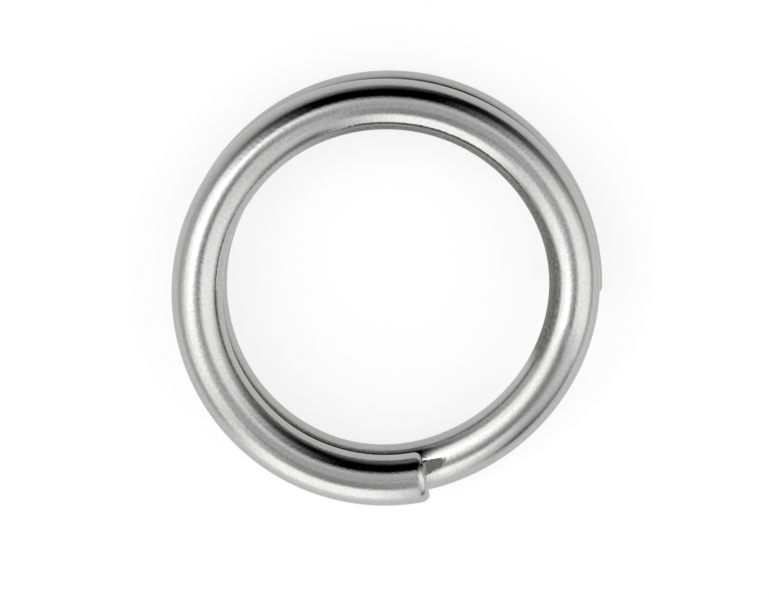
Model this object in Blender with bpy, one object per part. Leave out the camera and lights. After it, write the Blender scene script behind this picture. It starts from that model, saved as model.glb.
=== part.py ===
"""Split ring: one round steel wire wound nearly twice round, its two turns lying flat on each other.

Lengths are in metres. +Z is the axis of the coil, z = 0 is the surface that the ring lies on, and the origin
is under the middle of its outline. Seen from above the wire runs clockwise: round the upper turn from its
upper end, down a cranked step in the open sector, where there is only one wire, and on round the lower turn,
beneath the upper end, to its lower end. Angles are in degrees, anticlockwise from the middle of that sector,
so they fall along the wire.
"""

import math

import bpy
from mathutils import Vector

MM = 0.001

# The wire and its sheared ends, which tumbling has rounded
WIRE_DIAMETER = 1.16 * MM
END_FACE = 0.8 * MM           # across the flat left in the middle of an end
END_ROUNDING = 0.13 * MM      # length of wire that narrows to that flat

# The coil
TURN_OUTSIDE = 9.76 * MM      # across one turn, over the wire
TURN_GAP = 0.02 * MM          # between the turns, which rest on each other
TURN_SHIFT = 0.23 * MM        # from the upper turn's centre to the lower one's
SHIFT_DIRECTION = 104.0

# The open sector, between the two ends
SECTOR_DIRECTION = -40.6      # of its middle, from +X
SECTOR_ANGLE = 73.8

# The cranked step down through the open sector
LEVEL_RUN = 0.62 * MM         # from over the lower end to the start of the step
UNDER_RUN = 0.34 * MM         # from under the upper end to the end of the step
BEND_RUN = 0.75 * MM          # wire in each of its two bends, with a straight slope between them

# How the wire leaves the circle of one turn for that of the other
DRIFT_START = 142.5           # the centre of the turn moves from the upper one's to the lower one's
DRIFT_END = -33.5
TUCK_START = 61.5             # the wire is pressed inwards, furthest in the middle of this stretch
TUCK_END = -72.5
TUCK_DEPTH = 0.13 * MM

# Fineness of the mesh
POINT_SPACING = 4.0           # between the points along the wire
SECTION_FACES = 20            # round the wire, a multiple of 4, so that it rests on a row of points
ROUNDING_STEPS = 4
WELD_DISTANCE = WIRE_DIAMETER / 1000

TURN_RADIUS = (TURN_OUTSIDE - WIRE_DIAMETER) / 2
TURN_PITCH = WIRE_DIAMETER + TURN_GAP
UPPER_END = 360 - SECTOR_ANGLE / 2
LOWER_END = SECTOR_ANGLE / 2 - 360
STEP_START = SECTOR_ANGLE / 2 - math.degrees(LEVEL_RUN / TURN_RADIUS)
STEP_END = -SECTOR_ANGLE / 2 - math.degrees(UNDER_RUN / TURN_RADIUS)
BEND_SHARE = math.degrees(BEND_RUN / TURN_RADIUS) / (STEP_START - STEP_END)


def passed(angle, start, end):
    """Share of a stretch of wire, from 0 at its start to 1 at its end, that lies behind an angle."""
    return min(max((start - angle) / (start - end), 0), 1)


def eased(share):
    """The share with a level start and end."""
    return share * share * (3 - 2 * share)


def stepped(share):
    """Share of the drop made along the step: a bend, a straight slope, and a bend the other way."""
    in_bend = 1 / (2 * BEND_SHARE * (1 - BEND_SHARE))
    if share < BEND_SHARE:
        return in_bend * share ** 2
    if share > 1 - BEND_SHARE:
        return 1 - in_bend * (1 - share) ** 2
    return (share - BEND_SHARE / 2) / (1 - BEND_SHARE)


def along(angle, distance):
    """A level vector at an angle."""
    heading = math.radians(SECTOR_DIRECTION + angle)
    return Vector((distance * math.cos(heading), distance * math.sin(heading), 0))


def wire_centre(angle):
    """Centre of the wire where it has turned to an angle, over the centre of the lower turn's wire."""
    lowered = stepped(passed(angle, STEP_START, STEP_END))
    drifted = eased(passed(angle, DRIFT_START, DRIFT_END))
    tucked = math.sin(math.pi * passed(angle, TUCK_START, TUCK_END)) ** 2
    turn_centre = along(SHIFT_DIRECTION, drifted * TURN_SHIFT)
    height = Vector((0, 0, (1 - lowered) * TURN_PITCH))
    return turn_centre + height + along(angle, TURN_RADIUS - tucked * TUCK_DEPTH)


def wire_sections():
    """Pairs of an angle and the wire's thickness there, as a share of its full one, from end to end."""
    ends = []
    for step in range(ROUNDING_STEPS):
        turn = math.pi / 2 * step / ROUNDING_STEPS
        from_end = math.degrees(END_ROUNDING * (1 - math.cos(turn)) / TURN_RADIUS)
        thickness = END_FACE + (WIRE_DIAMETER - END_FACE) * math.sin(turn)
        ends.append((from_end, thickness / WIRE_DIAMETER))
    first = UPPER_END - math.degrees(END_ROUNDING / TURN_RADIUS)
    last = LOWER_END + math.degrees(END_ROUNDING / TURN_RADIUS)
    steps = math.ceil((first - last) / POINT_SPACING)
    upper = [(UPPER_END - from_end, share) for from_end, share in ends]
    whole = [(first + (last - first) * step / steps, 1) for step in range(steps + 1)]
    lower = [(LOWER_END + from_end, share) for from_end, share in reversed(ends)]
    return upper + whole + lower


def middle(values):
    """Halfway between the lowest and the highest."""
    return (min(values) + max(values)) / 2


def polished_steel():
    """Stainless spring wire, tumbled to a polish."""
    material = bpy.data.materials.new("polished_steel")
    material.use_nodes = True
    shader = material.node_tree.nodes["Principled BSDF"]
    shader.inputs["Base Color"].default_value = (0.55, 0.55, 0.55, 1)
    shader.inputs["Metallic"].default_value = 1.0
    shader.inputs["Roughness"].default_value = 0.14
    return material


def wound_wire(collection):
    """The whole ring: round wire swept along the coil, closed by a flat at each rounded end."""
    sections = wire_sections()
    points = [wire_centre(angle) for angle, share in sections]
    curve = bpy.data.curves.new("wound_wire", "CURVE")
    curve.dimensions = "3D"
    curve.twist_mode = "Z_UP"
    curve.bevel_depth = WIRE_DIAMETER / 2
    curve.bevel_resolution = SECTION_FACES // 2 - 2
    curve.use_fill_caps = True
    spline = curve.splines.new("POLY")
    spline.points.add(len(points) - 1)
    for control, point, (angle, share) in zip(spline.points, points, sections):
        control.co = (*point, 1)
        control.radius = share
    spline.use_smooth = True
    curve.materials.append(polished_steel())

    wire = bpy.data.objects.new("wound_wire", curve)
    wire.location.x = -middle([point.x for point in points])
    wire.location.y = -middle([point.y for point in points])
    wire.location.z = WIRE_DIAMETER / 2
    collection.objects.link(wire)
    weld = wire.modifiers.new("flats_to_wire", "WELD")
    weld.merge_threshold = WELD_DISTANCE


for old in list(bpy.data.objects):
    bpy.data.objects.remove(old, do_unlink=True)
split_ring = bpy.data.collections.new("split_ring")
bpy.context.scene.collection.children.link(split_ring)
wound_wire(split_ring)
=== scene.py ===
"""Split ring of round steel wire, lying on a pale floor in a light tent and seen from straight above.

Lengths are in metres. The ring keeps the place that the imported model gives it: +Z is the axis of the coil,
and z = 0 is the floor. Angles along the wire are anticlockwise from the middle of its open sector.
"""

import math

import bmesh
import bpy
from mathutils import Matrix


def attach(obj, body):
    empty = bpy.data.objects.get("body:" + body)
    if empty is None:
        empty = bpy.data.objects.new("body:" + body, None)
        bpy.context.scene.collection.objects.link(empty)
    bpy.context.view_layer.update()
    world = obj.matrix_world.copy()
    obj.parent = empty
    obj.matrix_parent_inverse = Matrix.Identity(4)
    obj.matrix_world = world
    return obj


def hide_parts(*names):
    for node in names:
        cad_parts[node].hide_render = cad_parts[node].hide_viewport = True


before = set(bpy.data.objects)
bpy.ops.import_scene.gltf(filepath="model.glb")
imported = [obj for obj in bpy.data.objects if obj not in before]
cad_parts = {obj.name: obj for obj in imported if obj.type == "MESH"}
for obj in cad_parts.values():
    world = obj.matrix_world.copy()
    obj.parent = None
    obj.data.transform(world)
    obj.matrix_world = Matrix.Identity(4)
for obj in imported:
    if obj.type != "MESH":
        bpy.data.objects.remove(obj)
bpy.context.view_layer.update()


# The wound wire: the whole ring, one length of round spring wire coiled nearly twice round on a mandrel. Its
# two turns lie flat on each other, and tumbling has rounded its sheared ends over. Seen from above it runs
# clockwise from its upper end, down a cranked step in the open sector, to its lower end.

def add_node(tree, kind, inputs=(), **settings):
    """A node with its settings. Each input is a value, or a node or an output that it is linked to."""
    node = tree.nodes.new(kind)
    for name, value in settings.items():
        setattr(node, name, value)
    for place, value in inputs.items() if isinstance(inputs, dict) else enumerate(inputs):
        if isinstance(value, bpy.types.Node):
            value = value.outputs[0]
        if isinstance(value, bpy.types.NodeSocket):
            tree.links.new(value, node.inputs[place])
        else:
            node.inputs[place].default_value = value
    return node


MM = 0.001
WIRE_DIAMETER = 1.16 * MM
TURN_RADIUS = 4.3 * MM        # of the middle of the wire
SECTOR_ANGLE = 74.4           # degrees between the two ends, where there is only one wire
LEVEL_RUN = 0.62 * MM         # from over the lower end to the start of the step
UNDER_RUN = 0.34 * MM         # from under the upper end to the end of the step
BEND_RUN = 0.75 * MM          # wire in each of the step's two bends
END_ROUNDING = 0.2 * MM       # length of wire that narrows to the flat left by the shears
END_FACE = 0.86 * MM          # across that flat
FLAT_TOLERANCE = 0.001        # of the wire's thickness
wire_sizes = {
    "Wire diameter": WIRE_DIAMETER,
    "Turn radius": TURN_RADIUS,
    "Turn gap": 0.02 * MM,                        # between the turns, which rest on each other
    "Turn shift": 0.23 * MM,                      # from the upper turn's centre to the lower one's
    "Shift direction": math.radians(104),
    "Sector direction": math.radians(-40.3),      # of its middle, from +X
    "Upper end": math.radians(360 - SECTOR_ANGLE / 2),
    "Lower end": math.radians(SECTOR_ANGLE / 2 - 360),
    "Step start": math.radians(SECTOR_ANGLE / 2) - LEVEL_RUN / TURN_RADIUS,
    "Step end": math.radians(-SECTOR_ANGLE / 2) - UNDER_RUN / TURN_RADIUS,
    "Bend angle": BEND_RUN / TURN_RADIUS,
    "Drift start": math.radians(142.5),           # the turn's centre moves from the upper one's
    "Drift end": math.radians(-33.5),             # to the lower one's
    "Tuck start": math.radians(61.5),             # the wire is pressed inwards, furthest in the
    "Tuck end": math.radians(-72.5),              # middle of this stretch
    "Tuck depth": 0.13 * MM,
    "End rounding": END_ROUNDING / TURN_RADIUS,   # as an angle along the wire
    "End face": END_FACE / WIRE_DIAMETER,         # as a share of the wire's thickness
    "Points along": 900,
    "Points in rounding": 14,
    "Points round": 64,
}

coil = bpy.data.node_groups.new("coiled_wire", "GeometryNodeTree")
coil.interface.new_socket("Wire", in_out="OUTPUT", socket_type="NodeSocketGeometry")
for name, value in wire_sizes.items():
    kind = "NodeSocketInt" if isinstance(value, int) else "NodeSocketFloat"
    coil.interface.new_socket(name, in_out="INPUT", socket_type=kind)
coil.interface.new_socket("Material", in_out="INPUT", socket_type="NodeSocketMaterial")
size = add_node(coil, "NodeGroupInput").outputs

# Points are counted from the nearer end. The first of them round the end over, along a quarter of an ellipse,
# and the others are evenly spaced.
index = add_node(coil, "GeometryNodeInputIndex")
last = add_node(coil, "ShaderNodeMath", [size["Points along"], 1], operation="SUBTRACT")
from_lower_end = add_node(coil, "ShaderNodeMath", [last, index], operation="SUBTRACT")
from_nearer_end = add_node(coil, "ShaderNodeMath", [index, from_lower_end], operation="MINIMUM")
quarter = add_node(coil, "ShaderNodeMapRange",
                   [from_nearer_end, 0, size["Points in rounding"], 0, math.pi / 2])
height_in_quarter = add_node(coil, "ShaderNodeMath", [quarter], operation="SINE")
width_in_quarter = add_node(coil, "ShaderNodeMath", [quarter], operation="COSINE")
thickness = add_node(coil, "ShaderNodeMapRange", [height_in_quarter, 0, 1, size["End face"], 1])
rounded = add_node(coil, "ShaderNodeMapRange", [width_in_quarter, 1, 0, 0, size["End rounding"]])

whole_turns = add_node(coil, "ShaderNodeMath", [size["Upper end"], size["Lower end"]], operation="SUBTRACT")
plain_turns = add_node(coil, "ShaderNodeMath", [size["End rounding"], -2, whole_turns],
                       operation="MULTIPLY_ADD")
plain_points = add_node(coil, "ShaderNodeMath", [size["Points in rounding"], -2, last],
                        operation="MULTIPLY_ADD")
spacing = add_node(coil, "ShaderNodeMath", [plain_turns, plain_points], operation="DIVIDE")
past_rounding = add_node(coil, "ShaderNodeMath", [from_nearer_end, size["Points in rounding"]],
                         operation="SUBTRACT")
evenly_past = add_node(coil, "ShaderNodeMath", [past_rounding, 0], operation="MAXIMUM")
from_end = add_node(coil, "ShaderNodeMath", [evenly_past, spacing, rounded], operation="MULTIPLY_ADD")
from_upper = add_node(coil, "ShaderNodeMath", [size["Upper end"], from_end], operation="SUBTRACT")
from_lower = add_node(coil, "ShaderNodeMath", [size["Lower end"], from_end], operation="ADD")
on_lower_half = add_node(coil, "ShaderNodeMath", [index, from_lower_end], operation="GREATER_THAN")
angle = add_node(coil, "GeometryNodeSwitch", [on_lower_half, from_upper, from_lower], input_type="FLOAT")

# The turn's centre drifts over, and the wire is tucked inwards, where it passes from one turn to the other.
drifted = add_node(coil, "ShaderNodeMapRange", [angle, size["Drift start"], size["Drift end"], 0, 1],
                   interpolation_type="SMOOTHSTEP")
tuck_share = add_node(coil, "ShaderNodeMapRange", [angle, size["Tuck start"], size["Tuck end"], 0, math.pi])
tuck_wave = add_node(coil, "ShaderNodeMath", [tuck_share], operation="SINE")
tucked = add_node(coil, "ShaderNodeMath", [tuck_wave, tuck_wave], operation="MULTIPLY")
tuck = add_node(coil, "ShaderNodeMath", [tucked, size["Tuck depth"]], operation="MULTIPLY")
radius = add_node(coil, "ShaderNodeMath", [size["Turn radius"], tuck], operation="SUBTRACT")

# The cranked step: a bend down, a straight slope, and a bend back to level. The drop is a sum of squares, one
# for each place where the wire starts or stops bending.
step_angle = add_node(coil, "ShaderNodeMath", [size["Step start"], size["Step end"]], operation="SUBTRACT")
bend = add_node(coil, "ShaderNodeMath", [size["Bend angle"], step_angle], operation="DIVIDE")
slope = add_node(coil, "ShaderNodeMath", [1, bend], operation="SUBTRACT")
stepped = add_node(coil, "ShaderNodeMapRange", [angle, size["Step start"], size["Step end"], 0, 1])
lowered = 0
for bending_changes, way in ((0, 1), (bend, -1), (slope, -1)):
    past_change = add_node(coil, "ShaderNodeMath", [stepped, bending_changes], operation="SUBTRACT")
    bending = add_node(coil, "ShaderNodeMath", [past_change, 0], operation="MAXIMUM")
    square = add_node(coil, "ShaderNodeMath", [bending, bending], operation="MULTIPLY")
    lowered = add_node(coil, "ShaderNodeMath", [square, way, lowered], operation="MULTIPLY_ADD")
bend_and_slope = add_node(coil, "ShaderNodeMath", [bend, slope], operation="MULTIPLY")
twice = add_node(coil, "ShaderNodeMath", [bend_and_slope, 2], operation="MULTIPLY")
drop = add_node(coil, "ShaderNodeMath", [lowered, twice], operation="DIVIDE")
pitch = add_node(coil, "ShaderNodeMath", [size["Wire diameter"], size["Turn gap"]], operation="ADD")
raised = add_node(coil, "ShaderNodeMath", [1, drop], operation="SUBTRACT")
height = add_node(coil, "ShaderNodeMath", [raised, pitch], operation="MULTIPLY")

# Where each point goes. The middle of the outline is then put over the origin, and the lower turn on the
# floor.
heading = add_node(coil, "ShaderNodeMath", [size["Sector direction"], angle], operation="ADD")
outwards = add_node(coil, "ShaderNodeCombineXYZ", [radius])
on_turn = add_node(coil, "ShaderNodeVectorRotate", {"Vector": outwards, "Angle": heading},
                   rotation_type="Z_AXIS")
shift_heading = add_node(coil, "ShaderNodeMath", [size["Sector direction"], size["Shift direction"]],
                         operation="ADD")
shift = add_node(coil, "ShaderNodeMath", [drifted, size["Turn shift"]], operation="MULTIPLY")
shift_vector = add_node(coil, "ShaderNodeCombineXYZ", [shift])
shifted = add_node(coil, "ShaderNodeVectorRotate", {"Vector": shift_vector, "Angle": shift_heading},
                   rotation_type="Z_AXIS")
lift = add_node(coil, "ShaderNodeCombineXYZ", [0, 0, height])
level_place = add_node(coil, "ShaderNodeVectorMath", [on_turn, shifted], operation="ADD")
place = add_node(coil, "ShaderNodeVectorMath", [level_place, lift], operation="ADD")

straight = add_node(coil, "GeometryNodeCurvePrimitiveLine")
divided = add_node(coil, "GeometryNodeResampleCurve", {"Curve": straight, "Count": size["Points along"]})
wound = add_node(coil, "GeometryNodeSetPosition", {"Geometry": divided, "Position": place})
position = add_node(coil, "GeometryNodeInputPosition")
outline = add_node(coil, "GeometryNodeAttributeStatistic", {"Geometry": wound, "Attribute": position},
                   data_type="FLOAT_VECTOR").outputs
opposite = add_node(coil, "ShaderNodeVectorMath", [outline["Min"], outline["Max"]], operation="ADD")
off_centre = add_node(coil, "ShaderNodeVectorMath", [opposite, (-0.5, -0.5, 0)], operation="MULTIPLY")
wire_radius = add_node(coil, "ShaderNodeMath", [size["Wire diameter"], 0.5], operation="MULTIPLY")
off_floor = add_node(coil, "ShaderNodeCombineXYZ", [0, 0, wire_radius])
to_place = add_node(coil, "ShaderNodeVectorMath", [off_centre, off_floor], operation="ADD")
settled = add_node(coil, "GeometryNodeSetPosition", {"Geometry": wound, "Offset": to_place})
upright = add_node(coil, "GeometryNodeSetCurveNormal", [settled], mode="Z_UP")

# Each point of the wire keeps where it would be if the wire were straightened, for the patterns of its
# material: X along it from the upper end, and Y inwards from its middle.
along_wire = add_node(coil, "GeometryNodeSplineParameter").outputs["Length"]
marked = add_node(coil, "GeometryNodeCaptureAttribute", [upright])
for name, value in (("along", along_wire), ("share", thickness.outputs[0])):
    marked.capture_items.new("FLOAT", name)
    coil.links.new(value, marked.inputs[name])
section = add_node(coil, "GeometryNodeCurvePrimitiveCircle",
                   {"Resolution": size["Points round"], "Radius": wire_radius})
marked_section = add_node(coil, "GeometryNodeCaptureAttribute", [section])
marked_section.capture_items.new("VECTOR", "across")
coil.links.new(position.outputs[0], marked_section.inputs["across"])
swept = add_node(coil, "GeometryNodeCurveToMesh",
                 {"Curve": marked, "Profile Curve": marked_section, "Scale": thickness, "Fill Caps": True})

across = add_node(coil, "ShaderNodeVectorMath",
                  {0: marked_section.outputs["across"], "Scale": marked.outputs["share"]}, operation="SCALE")
across_parts = add_node(coil, "ShaderNodeSeparateXYZ", [across]).outputs
straightened = add_node(coil, "ShaderNodeCombineXYZ",
                        [marked.outputs["along"], across_parts["X"], across_parts["Y"]])
mapped = add_node(coil, "GeometryNodeStoreNamedAttribute",
                  {"Geometry": swept, "Name": "straightened", "Value": straightened},
                  data_type="FLOAT_VECTOR")

# The flat that the shears left at each end is marked for its dull finish.
past_flat = add_node(coil, "ShaderNodeMath", [marked.outputs["share"], size["End face"]],
                     operation="SUBTRACT")
on_flat = add_node(coil, "ShaderNodeMath", [past_flat, FLAT_TOLERANCE], operation="LESS_THAN")
sheared = add_node(coil, "GeometryNodeStoreNamedAttribute",
                   {"Geometry": mapped, "Name": "sheared", "Value": on_flat}, data_type="FLOAT")
smooth = add_node(coil, "GeometryNodeSetShadeSmooth", [sheared])
realized = add_node(coil, "GeometryNodeRealizeInstances", [smooth])
finished = add_node(coil, "GeometryNodeSetMaterial", {"Geometry": realized, "Material": size["Material"]})
add_node(coil, "NodeGroupOutput", [finished])


def linear(colour):
    """An sRGB hex colour as the linear one that a shader takes."""
    parts = [int(colour[start:start + 2], 16) / 255 for start in (1, 3, 5)]
    return (*(part / 12.92 if part <= 0.04045 else ((part + 0.055) / 1.055) ** 2.4 for part in parts), 1)


# Stainless spring wire, drawn through a die, then tumbled to a polish: a clear mirror, a little darker than
# chrome. Tumbling has left a fine orange peel in it, which frays the edges of what it mirrors, and a few
# small pits. The size of the peel is taken from that fraying in the photograph. The steel is a little duller
# in its hollows, and it brightens less than most metals towards the wire's edges.
PEEL_SIZE = 0.08 * MM         # of one hollow
PEEL_DEPTH = 0.0022 * MM
PEEL_TOP = 0.62               # of the noise that makes the peel, which seldom goes past these two
PEEL_BOTTOM = 0.38
TOP_ROUGHNESS = 0.05
HOLLOW_ROUGHNESS = 0.08
PIT_SPACING = 0.22 * MM
PIT_SIZE = 0.022 * MM         # from a pit's middle to its edge
PIT_CUT = 0.6                 # the places for a pit each have a random number, and those above this hold one

# The sockets of a Mix node that share their names, by their places
FIRST_NUMBER = 2
SECOND_NUMBER = 3
FIRST_COLOUR = 6
SECOND_COLOUR = 7
MIXED_COLOUR = 2

steel = bpy.data.materials.new("tumbled_stainless_wire")
steel.use_nodes = True
finish = steel.node_tree
shader = finish.nodes["Principled BSDF"]
on_wire = add_node(finish, "ShaderNodeAttribute", attribute_name="straightened").outputs["Vector"]
peel = add_node(finish, "ShaderNodeTexNoise", {"Vector": on_wire, "Scale": 1 / PEEL_SIZE, "Detail": 2.0})
hollow = add_node(finish, "ShaderNodeMapRange", [peel, PEEL_TOP, PEEL_BOTTOM, 0, 1])
spots = add_node(finish, "ShaderNodeTexVoronoi", {"Vector": on_wire, "Scale": 1 / PIT_SPACING}).outputs
some = add_node(finish, "ShaderNodeMath", [spots["Color"], PIT_CUT], operation="GREATER_THAN")
round_spot = add_node(finish, "ShaderNodeMapRange", [spots["Distance"], PIT_SIZE / PIT_SPACING, 0, 0, 1])
pit = add_node(finish, "ShaderNodeMath", [round_spot, some], operation="MULTIPLY")
tone = add_node(finish, "ShaderNodeMix",
                {"Factor": hollow, FIRST_COLOUR: linear("#B6B6B6"), SECOND_COLOUR: linear("#AFAFAE")},
                data_type="RGBA").outputs[MIXED_COLOUR]
pitted_tone = add_node(finish, "ShaderNodeMix",
                       {"Factor": pit, FIRST_COLOUR: tone, SECOND_COLOUR: linear("#77716A")},
                       data_type="RGBA").outputs[MIXED_COLOUR]
dulled = add_node(finish, "ShaderNodeMapRange", [hollow, 0, 1, TOP_ROUGHNESS, HOLLOW_ROUGHNESS])

# An even dark band along the inside of the wire on the way to the step is painted shadow: the floor's shadow
# that the steel would mirror there, painted into the steel's colour as a darker grey, and given a duller
# finish.
# The band widens before the step and fades out at both ends.
BAND_FADES_IN = (11.5 * MM, 13.5 * MM)    # along the wire
BAND_FADES_OUT = (22.7 * MM, 23.3 * MM)
BAND_WIDENS = (18 * MM, 20.7 * MM)
BAND_EDGE = (0.48 * MM, 0.31 * MM)        # inwards from the wire's middle, before and after it widens
BAND_SOFTNESS = 0.03 * MM                 # on either side of that edge
SHADOW_BAND_ROUGHNESS = 0.45
wire_place = add_node(finish, "ShaderNodeSeparateXYZ", [on_wire]).outputs
band_edge = add_node(finish, "ShaderNodeMapRange", [wire_place["X"], *BAND_WIDENS, *BAND_EDGE])
past_edge = add_node(finish, "ShaderNodeMath", [wire_place["Y"], band_edge], operation="SUBTRACT")
inwards = add_node(finish, "ShaderNodeMapRange", [past_edge, -BAND_SOFTNESS, BAND_SOFTNESS, 0, 1])
begun = add_node(finish, "ShaderNodeMapRange", [wire_place["X"], *BAND_FADES_IN, 0, 1])
not_over = add_node(finish, "ShaderNodeMapRange", [wire_place["X"], *BAND_FADES_OUT, 1, 0])
stretch = add_node(finish, "ShaderNodeMath", [begun, not_over], operation="MULTIPLY")
in_painted_shadow = add_node(finish, "ShaderNodeMath", [inwards, stretch], operation="MULTIPLY")
# Painted shadow: the band's darker greys, mixed into the steel's colour over the band.
painted_shadow_tone = add_node(finish, "ShaderNodeMix",
                    {"Factor": hollow, FIRST_COLOUR: linear("#8C8C8B"), SECOND_COLOUR: linear("#737372")},
                    data_type="RGBA").outputs[MIXED_COLOUR]
shadow_painted_tone = add_node(finish, "ShaderNodeMix",
                       {"Factor": in_painted_shadow, FIRST_COLOUR: pitted_tone, SECOND_COLOUR: painted_shadow_tone},
                       data_type="RGBA").outputs[MIXED_COLOUR]
shadow_band_roughness = add_node(finish, "ShaderNodeMix",
                            {"Factor": in_painted_shadow, FIRST_NUMBER: dulled, SECOND_NUMBER: SHADOW_BAND_ROUGHNESS})

# The flats that the shears left are torn steel, which no tumbling reaches: darker and dull.
TORN_ROUGHNESS = 0.4
torn = add_node(finish, "ShaderNodeAttribute", attribute_name="sheared").outputs["Fac"]
tear_tone = add_node(finish, "ShaderNodeMix",
                     {"Factor": hollow, FIRST_COLOUR: linear("#9A9A99"), SECOND_COLOUR: linear("#6A6A69")},
                     data_type="RGBA").outputs[MIXED_COLOUR]
torn_tone = add_node(finish, "ShaderNodeMix",
                     {"Factor": torn, FIRST_COLOUR: shadow_painted_tone, SECOND_COLOUR: tear_tone},
                     data_type="RGBA").outputs[MIXED_COLOUR]
torn_roughness = add_node(finish, "ShaderNodeMix",
                          {"Factor": torn, FIRST_NUMBER: shadow_band_roughness, SECOND_NUMBER: TORN_ROUGHNESS})
peeled = add_node(finish, "ShaderNodeBump", {"Distance": PEEL_DEPTH, "Height": peel})
for name, value in (("Base Color", torn_tone), ("Roughness", torn_roughness.outputs[0]),
                    ("Normal", peeled.outputs[0])):
    finish.links.new(value, shader.inputs[name])
shader.inputs["Metallic"].default_value = 1.0
shader.inputs["Specular Tint"].default_value = linear("#E7E7E7")

blank = bpy.data.objects.new("coil_blank", bpy.data.meshes.new("coil_blank"))
bpy.context.scene.collection.objects.link(blank)
winding = blank.modifiers.new("winding", "NODES")
winding.node_group = coil
for item in coil.interface.items_tree:
    if item.in_out == "INPUT":
        winding[item.identifier] = steel if item.name == "Material" else wire_sizes[item.name]
evaluated = blank.evaluated_get(bpy.context.evaluated_depsgraph_get())
wire = bpy.data.objects.new("ring_wire", bpy.data.meshes.new_from_object(evaluated))
bpy.data.objects.remove(blank, do_unlink=True)
bpy.context.scene.collection.objects.link(wire)
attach(wire, "root")
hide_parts("wound_wire")


# The floor: a sheet of white acrylic, which mirrors a little more the flatter it is looked at. It takes the
# ring's soft shadow, and shows white to the camera and to the steel that mirrors it.

FLOOR_WIDTH = 4.0
FLOOR_GLOW = 0.74             # of plain white, added to the light that falls on it
GLOSS_ROUGHNESS = 0.15
ACRYLIC_IOR = 1.5
acrylic = bpy.data.materials.new("white_acrylic_sheet")
acrylic.use_nodes = True
sheet = acrylic.node_tree
sheet.nodes.clear()
rays = add_node(sheet, "ShaderNodeLightPath").outputs
seen = add_node(sheet, "ShaderNodeMath", [rays["Is Camera Ray"], rays["Is Glossy Ray"]],
                operation="MAXIMUM")
seen_or_through = add_node(sheet, "ShaderNodeMath", [seen, rays["Is Transmission Ray"]],
                           operation="MAXIMUM")
lifted = add_node(sheet, "ShaderNodeMath", [seen_or_through, FLOOR_GLOW], operation="MULTIPLY")
plastic = add_node(sheet, "ShaderNodeBsdfDiffuse", [linear("#939393")])
glow = add_node(sheet, "ShaderNodeEmission", [linear("#FFFFFF"), lifted])
lit = add_node(sheet, "ShaderNodeAddShader", [plastic, glow])
gloss = add_node(sheet, "ShaderNodeBsdfGlossy", {"Color": linear("#FFFFFF"), "Roughness": GLOSS_ROUGHNESS})
glancing = add_node(sheet, "ShaderNodeFresnel", [ACRYLIC_IOR])
surface = add_node(sheet, "ShaderNodeMixShader", [glancing, lit, gloss])
add_node(sheet, "ShaderNodeOutputMaterial", [surface])

floor_mesh = bpy.data.meshes.new("floor")
edge = FLOOR_WIDTH / 2
corners = [(-edge, -edge, 0), (edge, -edge, 0), (edge, edge, 0), (-edge, edge, 0)]
floor_mesh.from_pydata(corners, [], [(0, 1, 2, 3)])
floor_mesh.materials.append(acrylic)
floor = bpy.data.objects.new("floor", floor_mesh)
bpy.context.scene.collection.objects.link(floor)


# The light tent: a dome of white cloth round the ring, lit from outside, with brighter panels where the
# lamps stand, a black card at the back, and a dim roof where the camera looks in. The camera itself sees
# through it.

TENT_RADIUS = 0.4
TENT_FOOT = -0.04             # a little under the floor
CLOTH_LIGHT = 0.75            # of plain white, where there is no panel
panel = bpy.data.node_groups.new("panel_of_light", "ShaderNodeTree")
panel.interface.new_socket("Light", in_out="OUTPUT", socket_type="NodeSocketFloat")
panel.interface.new_socket("Direction", in_out="INPUT", socket_type="NodeSocketVector")
for name in ("Light behind", "Azimuth", "Half width", "Side edge", "Tilt", "Half height", "Top edge",
             "Level"):
    panel.interface.new_socket(name, in_out="INPUT", socket_type="NodeSocketFloat")
given = add_node(panel, "NodeGroupInput").outputs
turned_by = add_node(panel, "ShaderNodeMath", [given["Azimuth"], -1], operation="MULTIPLY")
turned = add_node(panel, "ShaderNodeVectorRotate", {"Vector": given["Direction"], "Angle": turned_by},
                  rotation_type="Z_AXIS")
turned_parts = add_node(panel, "ShaderNodeSeparateXYZ", [turned]).outputs
azimuth_off = add_node(panel, "ShaderNodeMath", [turned_parts["Y"], turned_parts["X"]], operation="ARCTAN2")
tilt = add_node(panel, "ShaderNodeMath", [turned_parts["Z"]], operation="ARCCOSINE")
tilt_off = add_node(panel, "ShaderNodeMath", [tilt, given["Tilt"]], operation="SUBTRACT")
within = []
for off, half_size, soft_edge in (
    (azimuth_off, given["Half width"], given["Side edge"]),
    (tilt_off, given["Half height"], given["Top edge"]),
):
    distance = add_node(panel, "ShaderNodeMath", [off], operation="ABSOLUTE")
    outer = add_node(panel, "ShaderNodeMath", [half_size, soft_edge], operation="ADD")
    inner = add_node(panel, "ShaderNodeMath", [half_size, soft_edge], operation="SUBTRACT")
    within.append(add_node(panel, "ShaderNodeMapRange", [distance, outer, inner, 0, 1],
                           interpolation_type="SMOOTHSTEP"))
on_panel = add_node(panel, "ShaderNodeMath", within, operation="MULTIPLY")
panel_light = add_node(panel, "ShaderNodeMix", {"Factor": on_panel, FIRST_NUMBER: given["Light behind"],
                                                SECOND_NUMBER: given["Level"]})
add_node(panel, "NodeGroupOutput", [panel_light])

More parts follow.
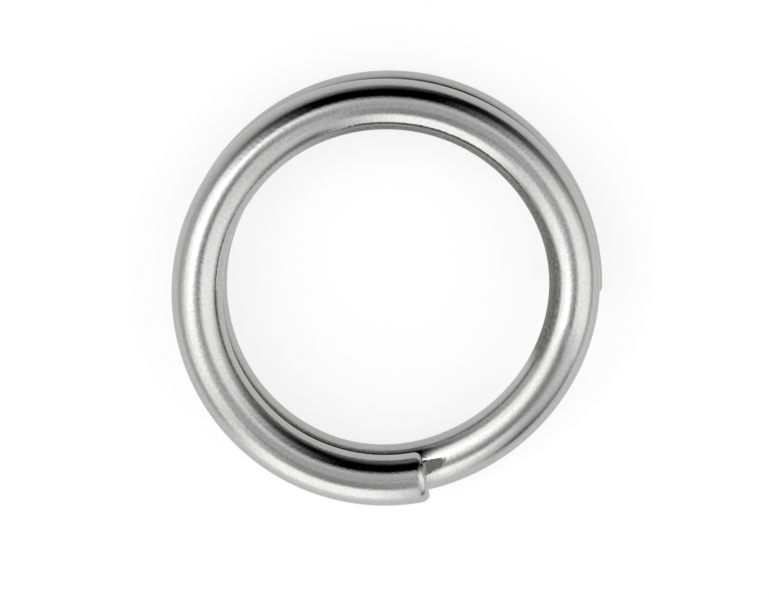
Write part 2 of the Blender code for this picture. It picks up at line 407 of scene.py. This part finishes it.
# In degrees: azimuth from +X, half the width and half the soft edge at each side, tilt from straight up, half
# the height and half the soft edge above and below. Then the light that comes from it, 1 for plain white.
panels = {
    "roof": (-34, 28, 19, 0, 45, 4.9, 0.37),
    "front roof": (254, 30, 6, 32, 15.5, 9.1, 0.47),
    "right lamp": (3, 49, 60, 47, 31, 11.2, 1.77),
    "left lamp's soft side": (204, 20.5, 33, 49, 24, 8.4, 1.65),
    "left lamp": (154, 34, 35, 34, 21, 11.9, 2.94),
    "left lamp's foot": (166, 18, 10, 47, 5.5, 18.2, 1.51),
    "front lamp": (251.5, 25, 13, 71, 24, 10.15, 1.93),
    "gap at the back": (66, 36.5, 43, 80, 22, 11.9, 0.0),
    "black card": (93, 43.5, 27, 55, 26, 11.2, 0.0),
    "front gap": (303.5, 14, 5, 92.5, 15, 28, 0.0),
    "right front lamp": (312, 7, 13, 45, 34, 28, 1.19),
}
cloth = bpy.data.materials.new("lit_tent_cloth")
cloth.use_nodes = True
tent_light = cloth.node_tree
tent_light.nodes.clear()
from_ring = add_node(tent_light, "ShaderNodeTexCoord").outputs["Object"]
direction = add_node(tent_light, "ShaderNodeVectorMath", [from_ring], operation="NORMALIZE")
light = CLOTH_LIGHT
for name, (*angles, level) in panels.items():
    light = add_node(tent_light, "ShaderNodeGroup",
                     [direction, light, *(math.radians(value) for value in angles), level],
                     node_tree=panel, label=name)
cloth_glow = add_node(tent_light, "ShaderNodeEmission", [linear("#FFFFFF"), light])
add_node(tent_light, "ShaderNodeOutputMaterial", [cloth_glow])

dome = bmesh.new()
bmesh.ops.create_icosphere(dome, subdivisions=4, radius=TENT_RADIUS)
below_foot = [vert for vert in dome.verts if vert.co.z < TENT_FOOT]
bmesh.ops.delete(dome, geom=below_foot, context="VERTS")
bmesh.ops.reverse_faces(dome, faces=dome.faces)
tent_mesh = bpy.data.meshes.new("light_tent")
dome.to_mesh(tent_mesh)
dome.free()
tent_mesh.materials.append(cloth)
tent = bpy.data.objects.new("light_tent", tent_mesh)
tent.visible_camera = False
bpy.context.scene.collection.objects.link(tent)

world = bpy.data.worlds.new("white_room")
world.use_nodes = True
world.node_tree.nodes["Background"].inputs["Color"].default_value = linear("#FFFFFF")
bpy.context.scene.world = world
bpy.context.scene.view_settings.view_transform = "Standard"


# The camera: straight above, with a long close-up lens, and a little off the ring's middle, as in the
# photograph.

CAMERA_HEIGHT = 0.45
FRAME_WIDTH = 17.6 * MM       # that the photograph takes in at the height where the turns meet
FRAME_MIDDLE = (-0.06 * MM, -0.28 * MM)
NEAREST_SEEN = 0.01
camera_data = bpy.data.cameras.new("camera")
camera_data.lens = camera_data.sensor_width * (CAMERA_HEIGHT - WIRE_DIAMETER) / FRAME_WIDTH
camera_data.clip_start = NEAREST_SEEN
camera = bpy.data.objects.new("camera", camera_data)
camera.location = (*FRAME_MIDDLE, CAMERA_HEIGHT)
bpy.context.scene.collection.objects.link(camera)
bpy.context.scene.camera = camera
